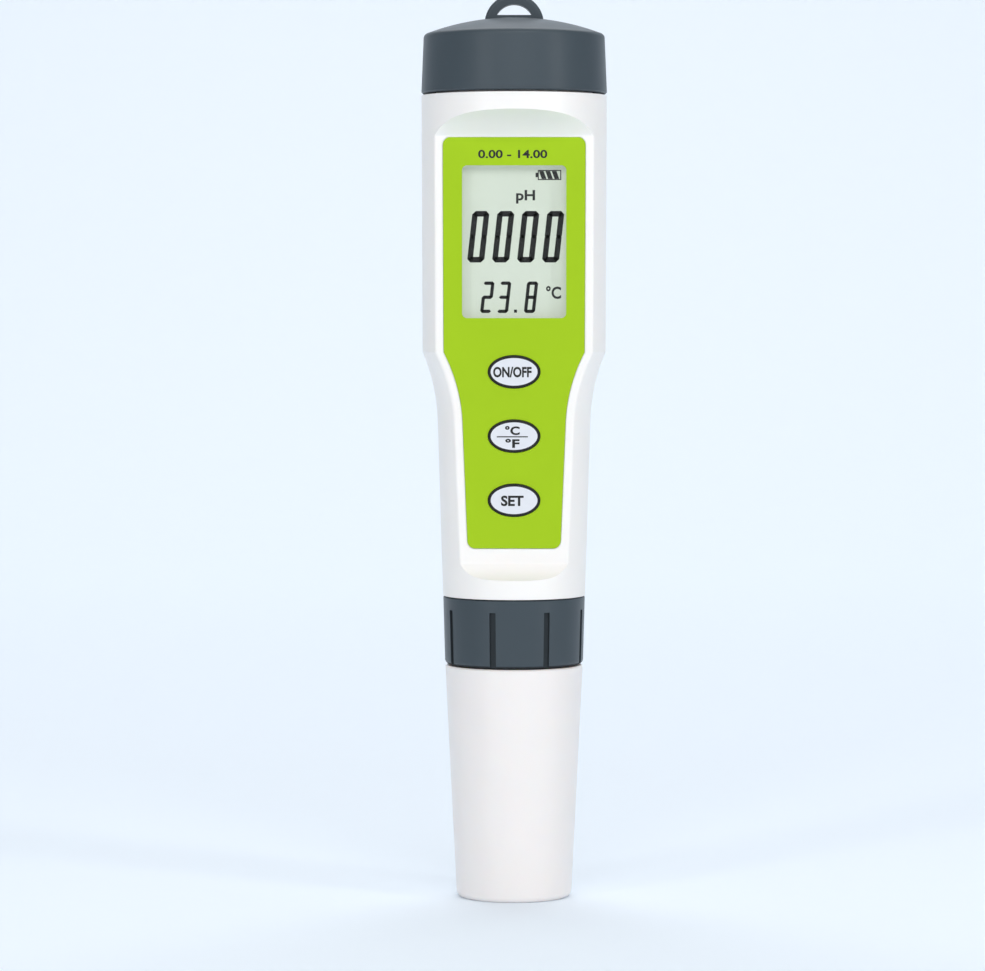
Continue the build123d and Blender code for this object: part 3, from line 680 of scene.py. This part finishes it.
@dataclass
class Display:
    """The display: filmed glass stack, clear lens and the figures that it shows."""

    workshop: Workshop
    ink: float = 0.03 * MM
    large_low: float = 130.48 * MM
    large_height: float = 10.44 * MM
    large_width: float = 4.62 * MM
    large_bar: float = 1.13 * MM
    large_places: tuple[float, ...] = (-9.59 * MM, -4.52 * MM, 0.55 * MM, 5.62 * MM)
    small_low: float = 120.22 * MM
    small_height: float = 6.4 * MM
    small_width: float = 2.98 * MM
    small_bar: float = 0.68 * MM
    small_places: Mapping[str, float] = field(
        default_factory=lambda: {"2": -6.94 * MM, "3": -3.52 * MM, "8": 1.95 * MM}
    )
    point_place: tuple[float, float] = (0.28 * MM, 120.6 * MM)
    point_size: tuple[float, float] = (0.6 * MM, 0.62 * MM)
    unit_weight: float = 0.028
    large_gap: float = 0.14 * MM
    small_gap: float = 0.09 * MM

    def build(self) -> None:
        """Dress the stack and add its figures, units and battery mark."""
        for node, finish in {
            "display_window": "clear_plastic",
            "display_frame": "grey_plastic",
            "display_front_glass": "display_glass",
            "display_rear_glass": "display_glass",
            "display_reflector": "reflector",
            "zebra_connector": "soft_rubber",
        }.items():
            self.workshop.dress(node, finish)
        self.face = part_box("display_front_glass")[0][1]
        self.figures()
        self.units()
        self.battery_mark()

    def figures(self) -> None:
        """Add the four large figures and the temperature."""
        large = bmesh.new()
        for left in self.large_places:
            digit = Digit(left, self.large_low, self.large_width, self.large_height,
                          self.large_bar, self.large_gap)
            digit.draw(large, "0", self.face, self.ink)
        self.workshop.keep(large, "large_figures", "display_ink", "housing", "display_glass", crease=None)
        small = bmesh.new()
        for figure, left in self.small_places.items():
            digit = Digit(left, self.small_low, self.small_width, self.small_height,
                          self.small_bar, self.small_gap)
            digit.draw(small, figure, self.face, self.ink)
        point = bmesh.ops.create_cube(small, size=1.0)["verts"]
        wide, tall = self.point_size
        across, up = self.point_place
        bmesh.ops.scale(small, verts=point, vec=(wide, self.ink, tall))
        bmesh.ops.translate(small, verts=point, vec=(across, self.face - self.ink / 2, up))
        self.workshop.keep(small, "small_figures", "display_ink", "housing", "display_glass", crease=None)

    def units(self) -> None:
        """Add the unit marks beside the figures."""
        for name, text, place in (
            ("acidity_unit", "pH", (2.32 * MM, 143.8 * MM, 3.86 * MM, 2.76 * MM)),
            ("degree_unit", "°C", (8.02 * MM, 124.39 * MM, 3.06 * MM, 2.64 * MM)),
        ):
            mesh = Mark(*place, self.face).fit(letters_mesh(name, text, bold=self.unit_weight))
            self.workshop.keep_mesh(mesh, name, "display_grey", "housing", "display_glass", crease=None)

    def battery_mark(self) -> None:
        """Add the battery mark: a frame with a stub and a row of slanted bars."""
        left, right, low, high = 4.25 * MM, 9.55 * MM, 147.2 * MM, 149.23 * MM
        stub, line = 0.55 * MM, 0.2 * MM
        bar, bar_step, first_bar, bar_share, bar_lean = 0.95 * MM, 1.3 * MM, 1.55 * MM, 0.78, 0.35
        middle, height = (low + high) / 2, high - low
        frame_middle, frame_width = (left + stub + right) / 2, right - left - stub
        strokes = [
            (frame_middle, high - line / 2, frame_width, line, 0),
            (frame_middle, low + line / 2, frame_width, line, 0),
            (left + stub + line / 2, middle, line, height, 0),
            (right - line / 2, middle, line, height, 0),
            (left + stub / 2 + line / 2, middle, stub, height * 0.45, 0),
        ]
        for index in range(3):
            x = left + first_bar + index * bar_step
            strokes.append((x, middle, bar, height * bar_share, bar_lean))
        shape = bmesh.new()
        for x, z, width, tall, lean in strokes:
            box = bmesh.ops.create_cube(shape, size=1.0)["verts"]
            bmesh.ops.scale(shape, verts=box, vec=(width, self.ink, tall))
            for vert in box:
                vert.co.x -= lean * vert.co.z
            bmesh.ops.translate(shape, verts=box, vec=(x, self.face - self.ink / 2, z))
        self.workshop.keep(shape, "battery_mark", "display_grey", "housing", "display_glass", crease=None)


@dataclass
class HousingShell:
    """The white housing with its green label and the plain numbers above the display."""

    workshop: Workshop
    header_place: tuple[float, ...] = (-0.29 * MM, 152.38 * MM, 14.0 * MM, 1.7 * MM)
    header_weight: float = 0.025

    def build(self) -> None:
        """Dress the housing and its label and print the scale above the display."""
        self.workshop.dress("main_housing", "white_plastic")
        self.workshop.dress("front_label", "green_label")
        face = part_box("front_label")[0][1]
        header = Mark(*self.header_place, face)
        mesh = header.fit(letters_mesh("range_numbers", "0.00 - 14.00", bold=self.header_weight))
        self.workshop.keep_mesh(mesh, "range_numbers", "printed_ink", "housing", "green_label", crease=None)


@dataclass
class KeyRow:
    """The three oval keys with their plungers and printed marks."""

    workshop: Workshop
    middle: float = 0.0
    print_shift: float = -0.35 * MM
    print_weight: float = 0.035
    bar_size: tuple[float, float, float] = (6.3 * MM, 0.03 * MM, 0.22 * MM)
    bar_height: float = 95.12 * MM
    bar_rise: float = 0.01 * MM
    heights: Mapping[str, float] = field(
        default_factory=lambda: {"power_key": 108.3 * MM, "unit_key": 95.25 * MM, "set_key": 82.2 * MM}
    )

    def build(self) -> None:
        """Dress each key and print its mark."""
        for key, height in self.heights.items():
            self.workshop.finishes[key] = KeyFace(f"{key}_print", (self.middle, height)).make()
            self.workshop.dress(key, key)
            self.workshop.dress(key.replace("key", "plunger"), "black_plastic")
        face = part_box("power_key")[0][1]
        for name, text, body, height, width, tall in (
            ("power_mark", "ON/OFF", "power_key", 108.25 * MM, 7.8 * MM, 2.15 * MM),
            ("celsius_mark", "°C", "unit_key", 96.4 * MM, 3.0 * MM, 1.85 * MM),
            ("fahrenheit_mark", "°F", "unit_key", 93.8 * MM, 2.9 * MM, 1.85 * MM),
            ("set_mark", "SET", "set_key", 82.1 * MM, 4.6 * MM, 2.15 * MM),
        ):
            self.mark(name, text, body, Mark(self.print_shift, height, width, tall, face))
        bar = bmesh.new()
        box = bmesh.ops.create_cube(bar, size=1.0)["verts"]
        bmesh.ops.scale(bar, verts=box, vec=self.bar_size)
        bmesh.ops.translate(bar, verts=box, vec=(self.print_shift, face - self.bar_rise, self.bar_height))
        self.workshop.keep(bar, "unit_bar", "printed_ink", "unit_key", "key_plastic", crease=None)

    def mark(self, name: str, text: str, body: str, mark: Mark) -> None:
        """Print one mark on a key."""
        mesh = mark.fit(letters_mesh(name, text, bold=self.print_weight))
        self.workshop.keep_mesh(mesh, name, "printed_ink", body, "key_plastic", crease=None)


@dataclass
class ScrewLid:
    """The grey screw lid with its lanyard loop, and the gasket under it."""

    workshop: Workshop

    def build(self) -> None:
        """Dress the lid and its gasket."""
        self.workshop.dress("battery_cap", "slate_plastic")
        self.workshop.dress("cap_gasket", "soft_rubber")


@dataclass
class LockingCollar:
    """The grooved collar that clamps the probe."""

    workshop: Workshop
    drop: float = 0.38 / 14.0

    def build(self) -> None:
        """Dress the collar, whose wall narrows by `drop` towards its foot."""
        low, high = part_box("locking_collar")
        # its finish paints shade into the grooves below the wall
        finish = Grooved("grooved_collar", COLLAR_SLATE, (high[0] - low[0]) / 2, high[2], self.drop)
        self.workshop.finishes["grooved_collar"] = finish.make()
        self.workshop.dress("locking_collar", "grooved_collar")


@dataclass
class StorageCup:
    """The milky storage cap and the damp sponge in its foot."""

    workshop: Workshop
    sponge_inset: float = 0.15 * MM
    sponge_taper: float = 0.97
    sponge_round: float = 0.9 * MM

    def build(self) -> None:
        """Dress the cap and model the sponge."""
        self.workshop.dress("storage_cap", "milky_plastic")
        self.sponge()

    def sponge(self) -> None:
        """Model the sponge as a soft crowned disc with torn pores."""
        low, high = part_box("storage_sponge")
        radius = (high[0] - low[0]) / 2 - self.sponge_inset
        height = high[2] - low[2]
        shape = bmesh.new()
        bmesh.ops.create_cone(
            shape,
            cap_ends=True,
            segments=64,
            radius1=radius,
            radius2=radius * self.sponge_taper,
            depth=height,
        )
        rims = [e for e in shape.edges if abs(e.verts[0].co.z - e.verts[1].co.z) < 1e-9]
        bmesh.ops.bevel(
            shape, geom=rims, offset=self.sponge_round, affect="EDGES", segments=4, profile=0.5, material=-1
        )
        bmesh.ops.translate(shape, verts=shape.verts, vec=(0, 0, (low[2] + high[2]) / 2))
        piece = self.workshop.keep(shape, "sponge_pad", "sponge", "storage", "sponge", ("storage_sponge",))


@dataclass
class Probe:
    """The clamped probe: housing, guard, sensors, pins and seals."""

    workshop: Workshop
    finishes: Mapping[str, str] = field(default_factory=lambda: {
        "electrode_housing": "probe_plastic",
        "probe_guard": "probe_plastic",
        "plug_pins": "gold_metal",
        "plug_seal": "soft_rubber",
        "storage_seal": "soft_rubber",
        "glass_electrode": "probe_glass",
        "silver_wire": "silver",
        "reference_junction": "white_ceramic",
        "conductivity_pins": "steel",
        "temperature_probe": "steel",
    })

    def build(self) -> None:
        """Dress each piece of the probe."""
        for node, finish in self.finishes.items():
            self.workshop.dress(node, finish)


@dataclass
class Electronics:
    """Board, chip, switches, screws and the probe socket."""

    workshop: Workshop
    finishes: Mapping[str, str] = field(default_factory=lambda: {
        "main_board": "board",
        "controller_chip": "black_plastic",
        "board_components": "ceramic_parts",
        "key_switches": "black_plastic",
        "board_screws": "steel",
        "socket_block": "black_plastic",
        "socket_contacts": "gold_metal",
    })

    def build(self) -> None:
        """Dress each piece on the board."""
        for node, finish in self.finishes.items():
            self.workshop.dress(node, finish)


@dataclass
class BatteryBay:
    """Cradle, screws, contact strips and the four button cells."""

    workshop: Workshop
    finishes: Mapping[str, str] = field(default_factory=lambda: {
        "battery_cradle": "black_plastic",
        "cradle_screws": "steel",
        "positive_contact": "gold_metal",
        "negative_contact": "gold_metal",
        "battery_cell_1": "cell_steel",
        "battery_cell_2": "cell_steel",
        "battery_cell_3": "cell_steel",
        "battery_cell_4": "cell_steel",
    })

    def build(self) -> None:
        """Dress each piece of the bay."""
        for node, finish in self.finishes.items():
            self.workshop.dress(node, finish)


@dataclass
class Studio:
    """Pale swept floor, soft lights and the camera."""

    image_width: int = 985
    focal_pixels: float = 4030.0
    camera_height: float = 123.5 * MM
    camera_distance: float = 828 * MM
    pitch: float = radians(2.68)
    yaw: float = radians(0.307)
    floor_side: float = 6.0
    sweep_start: float = 0.9
    sweep_radius: float = 0.8
    floor_colour: Colour = screen(232, 240, 248)
    floor_glow: float = 0.08
    sweep_middle: tuple[float, float, float] = (0.0, 1.5, 0.2)
    room_colour: Colour = (0.93, 0.96, 1.0)
    room_light: float = 0.25
    room_look: float = 0.55

    def build(self) -> None:
        """Make the floor, the lights and the camera."""
        self.floor()
        self.lights()
        self.camera()

    def floor(self) -> None:
        """Sweep a pale sheet along the floor and up behind the pen."""
        shape = bmesh.new()
        row = [shape.verts.new((0, -self.floor_side, 0)), shape.verts.new((0, self.sweep_start, 0))]
        shape.edges.new(row)
        bmesh.ops.spin(
            shape, geom=[row[1]], cent=(0, self.sweep_start, self.sweep_radius), axis=(1, 0, 0),
            dvec=(0, 0, 0), angle=pi / 2, steps=24, use_merge=False, use_duplicate=False,
        )
        top = max(shape.verts, key=lambda v: v.co.z)
        wall = shape.verts.new(top.co + Vector((0, 0, self.floor_side)))
        shape.edges.new((top, wall))
        grown = bmesh.ops.extrude_edge_only(shape, edges=list(shape.edges))["geom"]
        moved = [v for v in grown if isinstance(v, bmesh.types.BMVert)]
        bmesh.ops.translate(shape, verts=moved, vec=(2 * self.floor_side, 0, 0))
        bmesh.ops.translate(shape, verts=shape.verts, vec=(-self.floor_side, 0, 0))
        bmesh.ops.recalc_face_normals(shape, faces=shape.faces)
        mesh = bpy.data.meshes.new("floor")
        shape.to_mesh(mesh)
        shape.free()
        mesh.shade_smooth()
        paper = Moulded(
            "floor_paper", self.floor_colour, 0.7, 0.01, grain=2 * MM, depth=0.0, glow=self.floor_glow
        )
        mesh.materials.append(paper.make())
        sheet = bpy.data.objects.new("floor", mesh)
        bpy.context.scene.collection.objects.link(sheet)

    def lights(self) -> None:
        """Hang soft lights on both sides, in front, above and behind."""
        side_size = (0.12, 1.1)
        self.softbox("left_light", (-0.58, -0.74, 0.30), side_size, 1.9)
        self.softbox("right_light", (0.78, -0.56, 0.30), side_size, 2.4)
        self.softbox("front_light", (0.1, -1.5, 0.95), (1.4, 0.7), 11.0)
        self.softbox("top_light", (0.0, -0.1, 1.3), (1.0, 0.8), 2.7)
        self.softbox("back_light", (0.0, 1.3, 1.9), (2.4, 0.8), 19.5, self.sweep_middle)
        self.room()
        bpy.context.scene.view_settings.view_transform = "Standard"

    def room(self) -> None:
        """Make the pale room, dimmer as a light than it looks past the edge of the floor."""
        world = bpy.data.worlds.new("pale_room")
        world.use_nodes = True
        tree = world.node_tree
        dim = tree.nodes["Background"]
        seen = tree.nodes.new("ShaderNodeBackground")
        for background, strength in ((dim, self.room_light), (seen, self.room_look)):
            background.inputs["Color"].default_value = (*self.room_colour, 1.0)
            background.inputs["Strength"].default_value = strength
        path = tree.nodes.new("ShaderNodeLightPath")
        either = tree.nodes.new("ShaderNodeMixShader")
        tree.links.new(path.outputs["Is Camera Ray"], either.inputs[0])
        tree.links.new(dim.outputs[0], either.inputs[1])
        tree.links.new(seen.outputs[0], either.inputs[2])
        tree.links.new(either.outputs[0], tree.nodes["World Output"].inputs["Surface"])
        bpy.context.scene.world = world

    def softbox(
        self,
        name: str,
        place: Sequence[float],
        size: tuple[float, float],
        power: float,
        target: Sequence[float] = (0.0, 0.0, 0.1),
    ) -> None:
        """Hang one rectangular light that looks at the pen or at another target.

        Args:
            name: Name of the light.
            place: Where it hangs.
            size: Its width and height.
            power: Its power in watts.
            target: The point that it faces.
        """
        lamp = bpy.data.lights.new(name, "AREA")
        lamp.shape = "RECTANGLE"
        lamp.size, lamp.size_y = size
        lamp.energy = power
        holder = bpy.data.objects.new(name, lamp)
        holder.location = place
        aim = Vector(target) - Vector(place)
        holder.rotation_euler = aim.to_track_quat("-Z", "Y").to_euler()
        bpy.context.scene.collection.objects.link(holder)

    def camera(self) -> None:
        """Set the camera where the photograph was taken from."""
        data = bpy.data.cameras.new("camera")
        data.sensor_width = 36.0
        data.lens = self.focal_pixels / self.image_width * data.sensor_width
        data.clip_start, data.clip_end = 0.05, 20.0
        holder = bpy.data.objects.new("camera", data)
        holder.location = (0, -self.camera_distance, self.camera_height)
        holder.rotation_euler = (pi / 2 - self.pitch, 0, self.yaw)
        bpy.context.scene.collection.objects.link(holder)
        bpy.context.scene.camera = holder


def main() -> None:
    """Build every sub-assembly, then the studio."""
    logging.basicConfig(level=logging.INFO, format="%(message)s")
    workshop = Workshop(make_finishes())
    for part in (
        HousingShell(workshop),
        Display(workshop),
        KeyRow(workshop),
        ScrewLid(workshop),
        LockingCollar(workshop),
        StorageCup(workshop),
        Probe(workshop),
        Electronics(workshop),
        BatteryBay(workshop),
    ):
        part.build()
        log.info("built %s", type(part).__name__)
    Studio().build()


if __name__ == "__main__":
    main()
